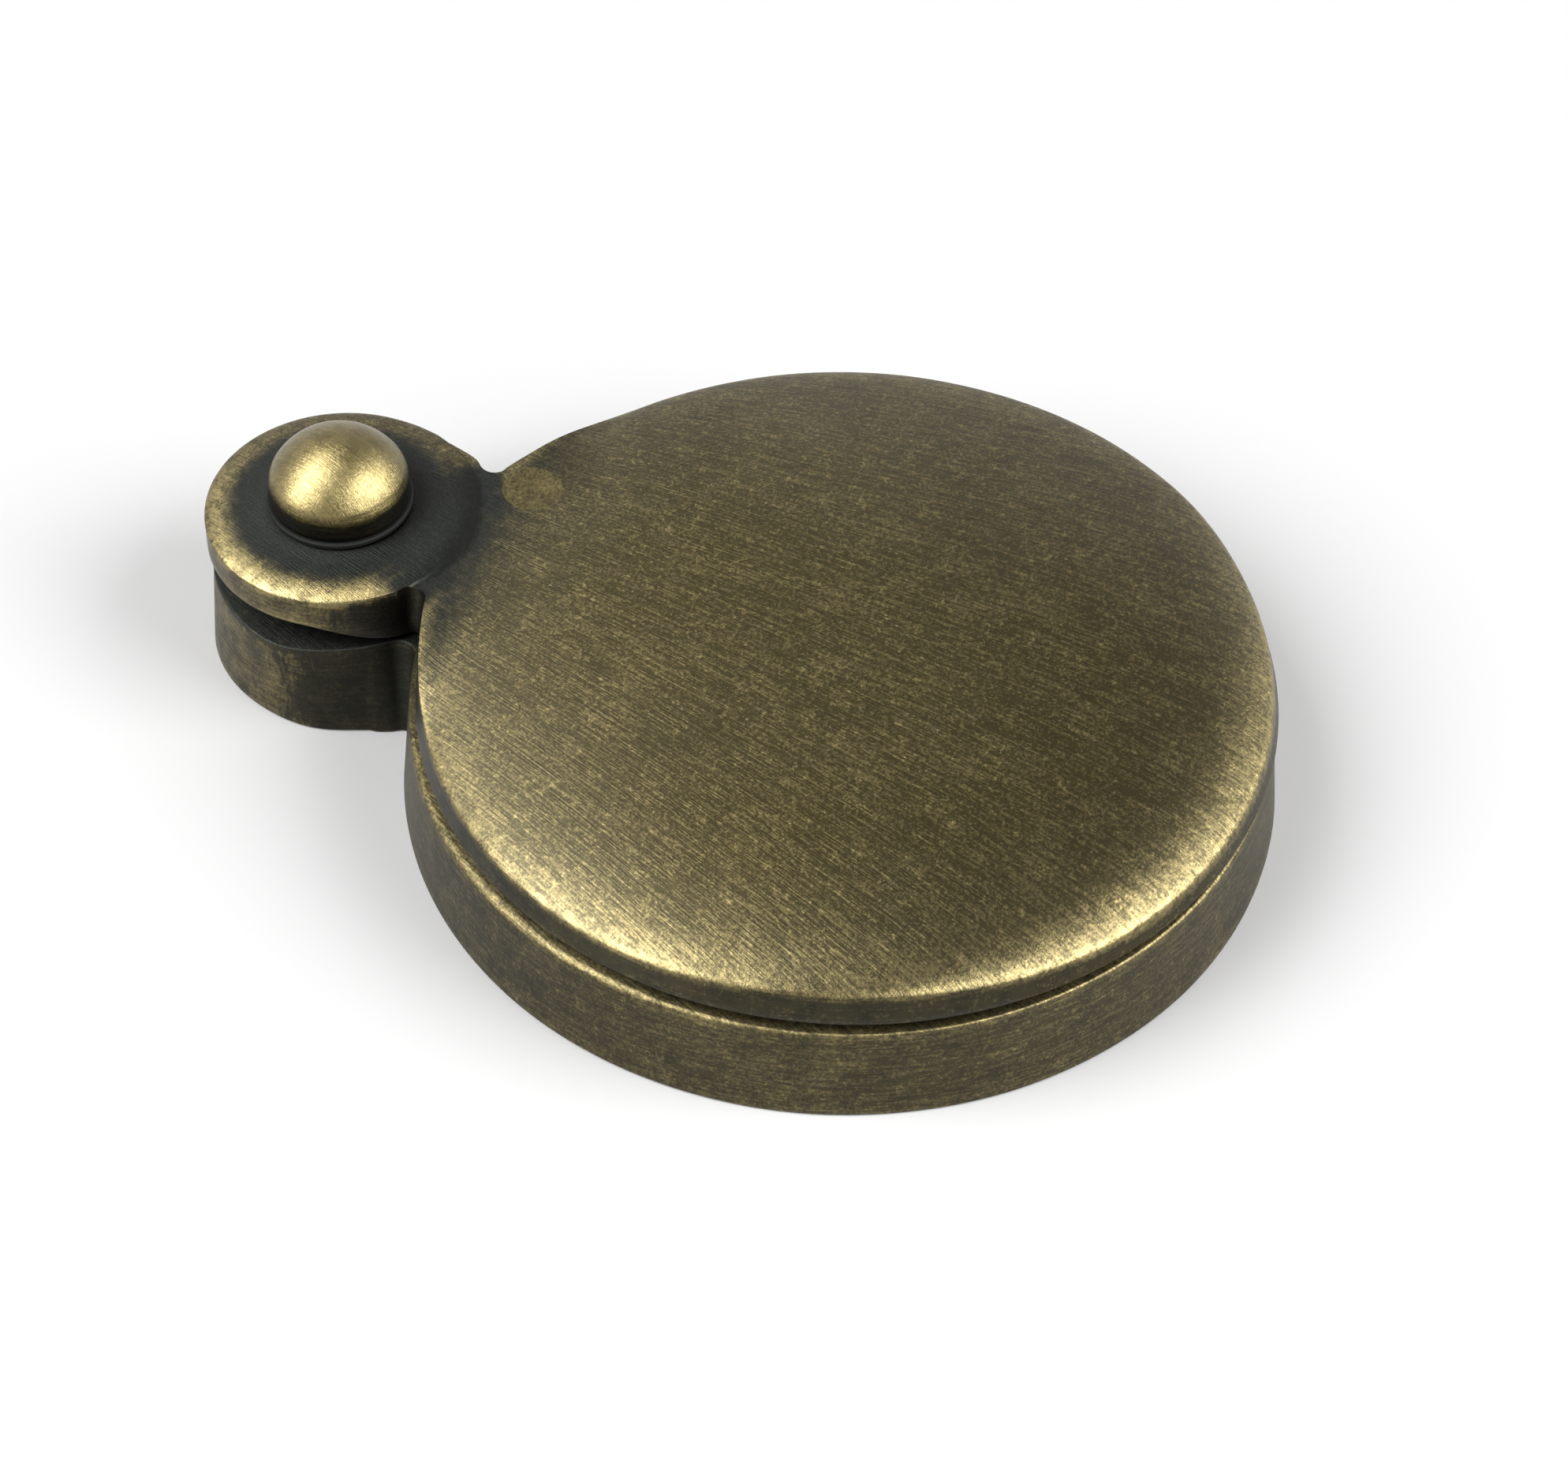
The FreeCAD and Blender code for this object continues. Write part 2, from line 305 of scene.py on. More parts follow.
class Skin:
    """Vertices and faces of one piece, gathered ring by ring, in millimetres."""

    def __init__(self):
        self.points = []
        self.faces = []

    def add(self, points):
        """Adds points (x, y, z) and returns their numbers."""
        start = len(self.points)
        self.points.extend(map(tuple, points))
        return list(range(start, len(self.points)))

    def bridge(self, lower, upper):
        """Quads between two rings that both run anticlockwise seen from above, facing outwards."""
        count = len(lower)
        for i in range(count):
            j = (i + 1) % count
            self.faces.append((lower[i], lower[j], upper[j], upper[i]))

    def stack(self, rings):
        """Adds rings from the lowest to the last and joins each to the next."""
        numbers = [self.add(ring) for ring in rings]
        for lower, upper in zip(numbers, numbers[1:]):
            self.bridge(lower, upper)
        return numbers

    def cap(self, ring, facing_up):
        face = list(ring) if facing_up else list(reversed(ring))
        self.faces.append(tuple(face))

    def build(self, name, smooth_angle=None):
        mesh = bpy.data.meshes.new(name)
        mesh.from_pydata([tuple(c * MM for c in p) for p in self.points], [], self.faces)
        mesh.validate()
        mesh.shade_smooth()
        if smooth_angle is not None:
            mesh.set_sharp_from_angle(angle=math.radians(smooth_angle))
        piece = bpy.data.objects.new(name, mesh)
        bpy.context.scene.collection.objects.link(piece)
        return piece


def circle(radius, x, y, z, count):
    turns = 2 * math.pi * np.arange(count) / count
    return np.stack([x + radius * np.cos(turns), y + radius * np.sin(turns), np.full(count, z)], 1)


def fill(skin, outer, holes, height, spacing, facing_up):
    """Fills the flat region inside the ring outer and outside the rings in holes with triangles.
    height gives z for an array of inner points (x, y)."""
    flat = np.array(skin.points)[:, :2]
    rings = [outer, *holes]
    border = np.concatenate([flat[r] for r in rings])
    edge = flat[outer]
    low = edge.min(0)
    high = edge.max(0)
    rows = np.arange(low[1], high[1], spacing * math.sqrt(0.75))
    grid = []
    for k, y in enumerate(rows):
        xs = np.arange(low[0] + spacing / 2 * (k % 2), high[0], spacing)
        grid.append(np.stack([xs, np.full(len(xs), y)], 1))
    grid = np.concatenate(grid)
    grid = grid[inside(grid, edge)]
    for hole in holes:
        grid = grid[~inside(grid, flat[hole])]
    grid = grid[nearest(grid, border)[0] > spacing * 0.6]
    inner = skin.add(np.column_stack([grid, height(grid)]))
    numbers = [n for r in rings for n in r] + inner
    coordinates = [Vector(p) for p in np.concatenate([border, grid])]
    edges = []
    start = 0
    for r in rings:
        edges += [(start + i, start + (i + 1) % len(r)) for i in range(len(r))]
        start += len(r)
    out = delaunay_2d_cdt(coordinates, edges, [list(range(len(outer)))], 1, 1e-7)
    triangles = np.array([[out[3][v][0] for v in f] for f in out[2]])
    middles = np.concatenate([border, grid])[triangles].mean(1)
    keep = np.ones(len(triangles), bool)
    for hole in holes:
        keep &= ~inside(middles, flat[hole])
    for triangle in triangles[keep]:
        face = tuple(numbers[i] for i in triangle)
        skin.faces.append(face if facing_up else face[::-1])


def inside(points, loop):
    """Which points lie inside a closed loop."""
    result = np.zeros(len(points), bool)
    for a, b in zip(loop, np.roll(loop, -1, 0)):
        crosses = (a[1] > points[:, 1]) != (b[1] > points[:, 1])
        with np.errstate(divide="ignore", invalid="ignore"):
            x = a[0] + (points[:, 1] - a[1]) * (b[0] - a[0]) / (b[1] - a[1])
        result ^= crosses & (points[:, 0] < x)
    return result


def ring_at(points, normals, inset, z):
    flat = points - normals * np.reshape(inset, (-1, 1))
    return np.column_stack([flat, np.broadcast_to(z, len(flat))])


# ---------------------------------------------------------------- the cover

COVER_OUTLINE = (COVER_R, COVER_Y, COVER_LOBE_R, CORNER_R)
PLATE_BACK_OUTLINE = (PLATE_R, 0, PLATE_LOBE_R, CORNER_R)
PLATE_FRONT_OUTLINE = (PLATE_FRONT_R, 0, PLATE_LOBE_FRONT_R, NOTCH_R)


def smooth_max(a, b, blend):
    overlap = np.maximum(blend - np.abs(a - b), 0) / blend
    return np.maximum(a, b) + overlap ** 2 * blend / 4


def pillow(depth, radius, band, crown, softness):
    """Height of a rounded disc's face at a distance inside its edge."""
    fall = np.clip(1 - np.maximum(depth, 0) / radius, 0, 1) ** PILLOW_POWER
    return COVER_BACK + band + crown * (1 - fall) ** softness


def rim_drop(x, y):
    """How much lower the disc's shoulder has been polished at each place round the rim."""
    turn = np.degrees(np.arctan2(y - COVER_Y, x)) % 360
    right = smooth_step(203, 240, turn) * (1 - smooth_step(285, 330, turn))
    left = smooth_step(115, 140, turn) * (1 - smooth_step(165, 197, turn))
    return RIGHT_DROP * right + LEFT_DROP * left


def disc_band_top(x, y):
    """Height at which the side band of the cover's disc ends and its shoulder starts."""
    return COVER_BACK + COVER_BAND - rim_drop(x, y)


def cover_height(points, wave):
    """Height of the cover's face: the disc's pillow, the lobe's, and the neck between them."""
    x, y = points[:, 0], points[:, 1]
    from_pivot = np.hypot(x, y - PIVOT_Y)
    disc_r = COVER_R - COVER_LEAN
    drop = rim_drop(x, y)
    disc_depth = disc_r - np.hypot(x, y - COVER_Y) - wave
    disc = pillow(disc_depth, disc_r, COVER_BAND - drop, COVER_CROWN + drop, DISC_SOFTNESS)
    lobe = pillow(COVER_LOBE_R - from_pivot - wave, COVER_LOBE_R, LOBE_BAND, LOBE_CROWN, LOBE_SOFTNESS)
    dish = smooth_step(2.9, 3.5, from_pivot) * (1 - smooth_step(3.9, 4.9, from_pivot))
    lobe = np.where(from_pivot < COVER_LOBE_R, lobe - DISH_DEPTH * dish, COVER_BACK)
    notch_x, notch_y = notch_centre(COVER_R, COVER_Y, COVER_LOBE_R, CORNER_R)
    off_neck = np.hypot(x - np.clip(x, -notch_x, notch_x + COVER_FILL), y - notch_y)
    level = LOBE_BAND + LOBE_CROWN - NECK_DROP
    neck = COVER_BACK + level * (1 - smooth_step(*NECK_FADE, off_neck))
    return smooth_max(smooth_max(disc, lobe, 0.2), neck, 0.5)


def make_cover():
    points, normals = outline(*COVER_OUTLINE)
    away = off_notch(points, *COVER_OUTLINE)
    points[:, 0] += COVER_FILL * np.exp(-(away / 1.7) ** 2) * (points[:, 0] > 0)
    lobe = smooth_step(0, 1.5, points[:, 1] - PIVOT_Y + COVER_LOBE_R)
    wave = wander(points, 5.0, 3.1) * WANDER * smooth_step(0.5, 3, away)
    points = points - normals * wave[:, None]
    bevel = 0.06 + (0.28 + 0.7 * lobe) * smooth_step(0.4, 4.6, away)
    skin = Skin()
    rings = [ring_at(points, normals, bevel * 1.2 * (1 - share), COVER_BACK + bevel * share)
             for share in (0.0, 0.3, 0.6, 0.85)]
    rings.append(ring_at(points, normals, bevel * 0.06, COVER_BACK + bevel * 0.96))
    low = COVER_BACK + bevel * 1.04
    lean = COVER_LEAN * (1 - lobe)
    top = cover_height(points - normals * lean[:, None], wave)
    for step in range(5):
        rings.append(ring_at(points, normals, lean * step / 4, low + (top - low) * step / 4))
    to_pin = np.linalg.norm(points - np.array([PIN_X, PIN_Y]), axis=1) - PIN_R
    reach = np.minimum(SHOULDER_REACH, 0.6 * to_pin)
    for step in range(1, SHOULDER_STEPS + 1):
        depth = lean + (reach - lean) * (step / SHOULDER_STEPS) ** 2
        flat = points - normals * depth[:, None]
        rings.append(np.column_stack([flat, cover_height(flat, wave)]))
    numbers = skin.stack(rings)

    def face_height(flat):
        return cover_height(flat, wave[nearest(flat, points)[1]])

    holes = []
    for x, y, radius, count in ((0, PIVOT_Y, BORE_R, ROUND_POINTS), (PIN_X, PIN_Y, PIN_R, HOLE_POINTS)):
        mouth = circle(radius, x, y, 0, count)
        mouth[:, 2] = face_height(mouth[:, :2])
        holes.append((skin.add(mouth), skin.add(circle(radius, x, y, COVER_BACK, count))))
        skin.bridge(*holes[-1])
    fill(skin, numbers[-1], [top for top, back in holes], face_height, FACE_SPACING, True)
    fill(skin, numbers[0], [back for top, back in holes], lambda p: np.full(len(p), COVER_BACK),
         BACK_SPACING, False)
    return skin.build("cover_shell", 50)


# ---------------------------------------------------------------- the plate

def cut(piece, tools):
    """Takes closed tool meshes away from a piece."""
    for tool in tools:
        modifier = piece.modifiers.new("cut", "BOOLEAN")
        modifier.operation = "DIFFERENCE"
        modifier.solver = "EXACT"
        modifier.object = tool
    bpy.context.view_layer.update()
    graph = bpy.context.evaluated_depsgraph_get()
    mesh = bpy.data.meshes.new_from_object(piece.evaluated_get(graph))
    piece.modifiers.clear()
    piece.data = mesh
    for tool in tools:
        bpy.data.objects.remove(tool)
    mesh.shade_smooth()
    mesh.set_sharp_from_angle(angle=math.radians(35))


def tool_from(loops, name):
    """A closed tool through loops of equal count, lowest first."""
    skin = Skin()
    numbers = skin.stack(loops)
    skin.cap(numbers[0], False)
    skin.cap(numbers[-1], True)
    return skin.build(name)


def keyhole_loop(grow, z):
    """The keyhole's outline, anticlockwise: the round part and the slot below it."""
    round_r = KEYHOLE_R + grow
    half = SLOT_HALF + grow
    corner = math.asin(half / round_r)
    turns = np.linspace(-math.pi / 2 + corner, 1.5 * math.pi - corner, 90)
    head = np.stack([round_r * np.cos(turns), KEYHOLE_Y + round_r * np.sin(turns)], 1)
    turns = np.linspace(-math.pi, 0, 40)
    foot = np.stack([half * np.cos(turns), SLOT_END_Y + half * np.sin(turns)], 1)
    loop = np.concatenate([head, foot])
    return np.column_stack([loop, np.full(len(loop), z)])


def relief_loop(z):
    """The stop pin's pocket: an arc about the pivot from the pin's rest out past the plate's edge."""
    first = math.radians(STOP_ANGLE + math.degrees(0.17 / STOP_RADIUS) - 90)
    last = first + math.radians(RELIEF_SWEEP)
    outer = np.linspace(first, last, 30)
    inner = np.linspace(last, first, 30)
    end = np.linspace(first - math.pi, first, 18)[1:-1]
    centre = np.array([math.cos(first), math.sin(first)]) * STOP_RADIUS
    ring = [np.stack([np.cos(t), np.sin(t)], 1) * r
            for t, r in ((outer, STOP_RADIUS + RELIEF_HALF), (inner, STOP_RADIUS - RELIEF_HALF))]
    close = centre + np.stack([np.cos(end), np.sin(end)], 1) * RELIEF_HALF
    loop = np.concatenate([ring[0], ring[1], close]) + np.array([0, PIVOT_Y])
    return np.column_stack([loop, np.full(len(loop), z)])


def make_plate():
    """The side leans inwards, so each ring lies between the back and the front outline."""
    back, back_normals = outline(*PLATE_BACK_OUTLINE)
    front, front_normals = outline(*PLATE_FRONT_OUTLINE)
    fill_out = PLATE_FILL * np.exp(-(off_notch(back, *PLATE_BACK_OUTLINE) / 1.4) ** 2)
    fill_out += 0.2 * np.exp(-((back[:, 1] - PIVOT_Y + 1.2) / 2.0) ** 2)
    back[:, 0] += fill_out * np.sign(back[:, 0])
    back[:, 1] -= 0.7 * fill_out * (back[:, 1] < PIVOT_Y - 3)
    front[:, 0] += 0.35 * np.exp(-((front[:, 1] - PIVOT_Y - 0.4) / 2.2) ** 2) * np.sign(front[:, 0])
    away = off_notch(front, *PLATE_FRONT_OUTLINE)
    wave = wander(back, 6.0, 8.4) * WANDER * smooth_step(0.5, 3, away)
    disc = 1 - smooth_step(-1.5, 0.5, back[:, 1] - PIVOT_Y + PLATE_LOBE_R)
    place = np.degrees(np.arctan2(back[:, 1], back[:, 0])) % 360
    rubbed = smooth_step(105, 135, place) * (1 - smooth_step(160, 205, place))
    rubbed += 0.25 * smooth_step(225, 260, place)
    worn = wander(back, 2.0, 5.0) - 0.5
    bevel = LEAST_BEVEL + (0.18 + 0.2 * worn) * rubbed * disc * smooth_step(0.5, 3, away)

    def ring(inset, z):
        share = np.reshape(z / PLATE_T, (-1, 1))
        flat = back + (front - back) * share
        normals = back_normals + (front_normals - back_normals) * share
        normals /= np.linalg.norm(normals, axis=1)[:, None]
        return ring_at(flat, normals, inset + wave, z)

    skin = Skin()
    level = np.ones(len(back))
    rings = [ring(PLATE_FOOT, 0 * level)]
    for step in range(1, 4):
        turn = math.pi / 2 * step / 3
        rings.append(ring(PLATE_FOOT * (1 - math.sin(turn)), PLATE_FOOT * (1 - math.cos(turn)) * level))
    for step in range(1, 13):
        rings.append(ring(0, PLATE_FOOT + (PLATE_T - bevel - PLATE_FOOT) * step / 12))
    for step in range(1, 9):
        turn = math.pi / 2 * step / 8
        rings.append(ring(bevel * (1 - math.cos(turn)), PLATE_T - bevel * (1 - math.sin(turn))))
    numbers = skin.stack(rings)
    skin.cap(numbers[0], False)
    skin.cap(numbers[-1], True)
    plate = skin.build("plate_casting")
    low, high = -1.0, PLATE_T + 1.0
    sink = SCREW_HEAD_R - SCREW_R
    tools = [tool_from([keyhole_loop(0, low), keyhole_loop(0, PLATE_T - KEYHOLE_BEVEL),
                        keyhole_loop(KEYHOLE_BEVEL + 1.0, high)], "keyhole_tool")]
    for side in (-1, 1):
        x = side * SCREW_X
        steps = [(SCREW_R, low), (SCREW_R, PLATE_T - sink), (SCREW_HEAD_R, PLATE_T), (SCREW_HEAD_R, high)]
        tools.append(tool_from([circle(r, x, 0, z, HOLE_POINTS) for r, z in steps], "screw_tool"))
    steps = [(TAIL_R + 1, low), (TAIL_R, 0), (SHANK_R, TAIL_DEPTH), (SHANK_R, high)]
    tools.append(tool_from([circle(r, 0, PIVOT_Y, z, HOLE_POINTS) for r, z in steps], "bore_tool"))
    tools.append(tool_from([relief_loop(RELIEF_FLOOR), relief_loop(high)], "relief_tool"))
    cut(plate, tools)
    return plate


# ---------------------------------------------------------------- rivet, washer and stop pin

def make_rivet():
    """Domed head with a soft edge on its skirt, the shank, and the peened tail."""
    skirt_foot = washer_high.z
    rim = skirt_foot + SKIRT_H
    crown = rivet_high.z
    dome_h = crown - rim
    sphere_r = (HEAD_R ** 2 + dome_h ** 2) / (2 * dome_h)
    half = math.asin(HEAD_R / sphere_r)
    profile = [(TAIL_R - 0.15, rivet_low.z), (TAIL_R - SOFT_EDGE, rivet_low.z + 0.05), (SHANK_R, TAIL_DEPTH),
               (SHANK_R, skirt_foot), (HEAD_R - SOFT_EDGE, skirt_foot), (HEAD_R, skirt_foot + SOFT_EDGE)]
    profile += [(HEAD_R, skirt_foot + SKIRT_H * k / 5) for k in range(1, 5)]
    profile += [(HEAD_R - 0.01, rim - SOFT_EDGE), (HEAD_R - SOFT_EDGE, rim + 0.02)]
    for step in range(1, DOME_RINGS):
        turn = half * (1 - step / DOME_RINGS) * 0.96
        profile.append((sphere_r * math.sin(turn), crown - sphere_r * (1 - math.cos(turn))))
    skin = Skin()
    numbers = skin.stack([circle(r, 0, PIVOT_Y, z, ROUND_POINTS) for r, z in profile])
    skin.cap(numbers[0], False)
    skin.cap(numbers[-1], True)
    return skin.build("rivet_turned", 60)


def make_washer():
    inner, outer = SHANK_R + 0.02, washer_high.x
    low, high = washer_low.z, washer_high.z
    profile = [(inner, high), (inner, low), (outer - SOFT_EDGE, low), (outer, low + SOFT_EDGE),
               (outer, high - SOFT_EDGE), (outer - SOFT_EDGE, high)]
    skin = Skin()
    numbers = skin.stack([circle(r, 0, PIVOT_Y, z, ROUND_POINTS) for r, z in profile])
    skin.bridge(numbers[-1], numbers[0])
    return skin.build("head_washer_ring", 40)


def make_pin():
    """The stop pin: its riveted end follows the cover's face, its peg hangs below."""
    skin = Skin()
    steps = [(PEG_R - 0.1, pin_low.z), (PEG_R, pin_low.z + 0.1), (PEG_R, COVER_BACK), (PIN_R, COVER_BACK)]
    rings = [circle(r, PIN_X, PIN_Y, z, HOLE_POINTS) for r, z in steps]
    for share in (1.0, 0.97, 0.85, 0.6, 0.3, 0.05):
        ring = circle(PIN_R * share, PIN_X, PIN_Y, 0, HOLE_POINTS)
        ring[:, 2] = cover_height(ring, 0)
        rings.append(ring)
    numbers = skin.stack(rings)
    skin.cap(numbers[0], False)
    skin.cap(numbers[-1], True)
    return skin.build("stop_pin_riveted", 50)


# ---------------------------------------------------------------- materials

BRUSH_X = 7.5            # the far point that the brush lines fan out from, in millimetres
BRUSH_Y = 49.0
BRUSH_DEPTH = 0.00003    # metres
# Black of soot, also used for painted shade
BLACK_SOOT_AND_SHADE = (0.016, 0.017, 0.015)
PATINA = (0.042, 0.034, 0.014)
# Greyer, lighter brown, also used as a painted sheen
GREY_PATINA_AND_SHEEN = (0.066, 0.058, 0.037)
BRASS = (0.36, 0.29, 0.13)


class Paint:
    """Builds a node material; coordinates are the object's own, in millimetres."""

    def __init__(self, name):
        self.material = bpy.data.materials.new(name)
        self.material.use_nodes = True
        self.nodes = self.material.node_tree.nodes
        self.shader = self.nodes["Principled BSDF"]
        place = self.node("ShaderNodeTexCoord")
        scale = self.node("ShaderNodeVectorMath", operation="SCALE")
        self.join(scale.inputs[0], place.outputs["Object"])
        scale.inputs["Scale"].default_value = 1000
        self.place = scale.outputs[0]

    def node(self, kind, **settings):
        node = self.nodes.new(kind)
        for key, value in settings.items():
            setattr(node, key, value)
        return node

    def join(self, socket, value):
        if isinstance(value, bpy.types.NodeSocket):
            self.material.node_tree.links.new(value, socket)
        else:
            socket.default_value = value

    def maths(self, operation, a, b=0.0, clamp=False):
        node = self.node("ShaderNodeMath", operation=operation, use_clamp=clamp)
        self.join(node.inputs[0], a)
        self.join(node.inputs[1], b)
        return node.outputs[0]

    def brushed(self):
        """Places across and along the brush lines, which fan out slightly from a far point."""
        parts = self.node("ShaderNodeSeparateXYZ")
        self.join(parts.inputs[0], self.place)
        x = self.maths("SUBTRACT", parts.outputs["X"], BRUSH_X)
        y = self.maths("SUBTRACT", BRUSH_Y, parts.outputs["Y"])
        flat = self.node("ShaderNodeCombineXYZ")
        self.join(flat.inputs["X"], x)
        self.join(flat.inputs["Y"], y)
        reach = self.node("ShaderNodeVectorMath", operation="LENGTH")
        self.join(reach.inputs[0], flat.outputs[0])
        lines = self.node("ShaderNodeCombineXYZ")
        self.join(lines.inputs["X"], self.maths("MULTIPLY", self.maths("ARCTAN2", x, y), BRUSH_Y))
        self.join(lines.inputs["Y"], reach.outputs["Value"])
        self.join(lines.inputs["Z"], parts.outputs["Z"])
        return lines.outputs[0]

    def noise(self, scale, detail=2.0, roughness=0.5, stretch=None, offset=0.0, place=None):
        place = place or self.place
        if stretch or offset:
            mapping = self.node("ShaderNodeMapping")
            self.join(mapping.inputs["Vector"], place)
            mapping.inputs["Scale"].default_value = stretch or (1, 1, 1)
            mapping.inputs["Location"].default_value = (offset, offset, offset)
            place = mapping.outputs[0]
        node = self.node("ShaderNodeTexNoise")
        self.join(node.inputs["Vector"], place)
        node.inputs["Scale"].default_value = scale
        node.inputs["Detail"].default_value = detail
        node.inputs["Roughness"].default_value = roughness
        return node.outputs[0]

    def spread(self, value, low, high):
        """Maps low..high to 0..1, smoothly and clamped."""
        node = self.node("ShaderNodeMapRange", interpolation_type="SMOOTHSTEP")
        self.join(node.inputs["Value"], value)
        node.inputs["From Min"].default_value = low
        node.inputs["From Max"].default_value = high
        return node.outputs[0]

    def blend(self, factor, a, b):
        """Mixes two colours."""
        node = self.node("ShaderNodeMix", data_type="RGBA")
        self.join(node.inputs["Factor"], factor)
        for socket, value in zip([i for i in node.inputs if i.type == "RGBA"], (a, b)):
            self.join(socket, value if isinstance(value, bpy.types.NodeSocket) else (*value, 1))
        return [o for o in node.outputs if o.type == "RGBA"][0]

    def times(self, a, b):
        return self.maths("MULTIPLY", a, b)

    def plus(self, a, b, clamp=False):
        return self.maths("ADD", a, b, clamp)

    def around_zero(self, value):
        """Moves a value that runs from 0 to 1 so that it runs about 0."""
        return self.maths("SUBTRACT", value, 0.5)

    def mix(self, factor, a, b):
        """Mixes two numbers."""
        return self.plus(self.times(self.maths("SUBTRACT", b, a), factor), a)

    def attribute(self, name):
        return self.node("ShaderNodeAttribute", attribute_name=name).outputs["Fac"]

    def upright(self):
        """1 on faces that look up or down, 0 on side walls."""
        normal = self.node("ShaderNodeNewGeometry").outputs["True Normal"]
        parts = self.node("ShaderNodeSeparateXYZ")
        self.join(parts.inputs[0], normal)
        return self.spread(self.maths("ABSOLUTE", parts.outputs["Z"]), 0.15, 0.45)


def aged_brass(name, hairs=1.0, roughness=0.37, stretched=0.0, ragged=2.4, spots=1.0):
    """Brass darkened by chemical patination, rubbed back at the edges and brushed along its length.
    Four vertex layers steer it: wear shows bright brass, the soot layer paints black dirt and painted shade,
    shade darkens, the dull layer greys and on the cover paints a sheen."""
    paint = Paint(name)
    # Marks of age: broad patches, clustered specks, uneven rubbing and fine grain
    patches = paint.spread(paint.noise(0.32, 4, 0.65), 0.36, 0.66)
    clusters = paint.spread(paint.noise(1.0, 4, 0.7, offset=2.0), 0.36, 0.62)
    speck = paint.spread(paint.noise(3.6, 5, 0.85, offset=7.0), 0.50, 0.70)
    speck = paint.times(speck, paint.plus(paint.times(clusters, 0.42), 0.14))
    uneven = paint.spread(paint.noise(1.5, 5, 0.75, offset=9.0), 0.38, 0.60)
    grain = paint.around_zero(paint.noise(8.0, 3, 0.75, offset=3.0))
    # Brush lines: along the faces and round the side walls
    along = paint.noise(1.0, 4, 0.7, stretch=(12.0, 0.55, 2.0), place=paint.brushed())
    around = paint.noise(1.0, 4, 0.65, stretch=(0.6, 0.6, 9.0))
    upright = paint.upright()
    hair = paint.mix(upright, around, along)
    fine = paint.around_zero(paint.spread(hair, 0.30, 0.70))
    # How much bright brass shows through the patina
    patchy = paint.plus(paint.times(uneven, spots), 1.35 - 0.9 * spots)
    amount = paint.plus(paint.times(paint.attribute("wear"), patchy), paint.times(patches, 0.06))
    amount = paint.plus(amount, paint.times(speck, spots))
    amount = paint.plus(amount, paint.times(fine, 0.30 * hairs))
    amount = paint.plus(amount, paint.times(grain, 1.1 * spots), clamp=True)
    # Black dirt and painted shade, from one layer: cloudy on faces, streaked and ragged on walls
    soot = paint.attribute("soot")
    blotch = paint.around_zero(paint.noise(1.6, 7, 0.82, offset=11.0))
    streaks = paint.around_zero(paint.noise(1.0, 7, 0.78, stretch=(1.7, 1.7, 0.5), offset=11.0))
    on_face = paint.spread(paint.plus(soot, paint.times(blotch, 1.2)), 0.05, 0.95)
    on_wall = paint.spread(paint.plus(soot, paint.times(streaks, ragged)), 0.34, 0.66)
    dirt_and_shade = paint.mix(upright, paint.times(on_wall, 0.8), on_face)
    # On the cover the dull layer also paints a sheen
    patina_and_sheen = paint.blend(paint.attribute("dull"), PATINA, GREY_PATINA_AND_SHEEN)
    clean = paint.blend(amount, patina_and_sheen, BRASS)
    clouds = paint.spread(paint.noise(0.9, 5, 0.7, offset=5.0), 0.42, 0.66)
    cloudy = paint.times(clouds, paint.mix(upright, 0.36, 0.12))
    dark = paint.plus(paint.attribute("shade"), cloudy, clamp=True)
    colour = paint.blend(dirt_and_shade, paint.blend(dark, clean, BLACK_SOOT_AND_SHADE), BLACK_SOOT_AND_SHADE)
    paint.join(paint.shader.inputs["Base Color"], colour)
    paint.shader.inputs["Metallic"].default_value = 1.0
    rough = paint.plus(paint.mix(amount, roughness, roughness - 0.07), paint.times(dirt_and_shade, 0.05))
    paint.join(paint.shader.inputs["Roughness"], rough)
    if stretched:
        paint.shader.inputs["Anisotropic"].default_value = stretched
        turn = paint.node("ShaderNodeVectorTransform", vector_type="VECTOR", convert_from="OBJECT",
                          convert_to="WORLD")
        turn.inputs[0].default_value = (1, 0, 0)
        paint.join(paint.shader.inputs["Tangent"], turn.outputs[0])
    relief = paint.plus(paint.times(hair, hairs), paint.times(grain, 0.5))
    bump = paint.node("ShaderNodeBump")
    bump.inputs["Strength"].default_value = 0.9
    bump.inputs["Distance"].default_value = BRUSH_DEPTH
    paint.join(bump.inputs["Height"], relief)
    paint.join(paint.shader.inputs["Normal"], bump.outputs[0])
    return paint.material


def mark(piece, **layers):
    """Stores each layer's value at every vertex; a layer is a number or a function of points."""
    mesh = piece.data
    flat = np.empty(len(mesh.vertices) * 3)
    mesh.vertices.foreach_get("co", flat)
    points = flat.reshape(-1, 3) / MM
    for name, layer in layers.items():
        values = layer(points) if callable(layer) else layer
        stored = mesh.attributes.new(name, "FLOAT", "POINT")
        stored.data.foreach_set("value", np.broadcast_to(values, len(points)).astype(np.float32))


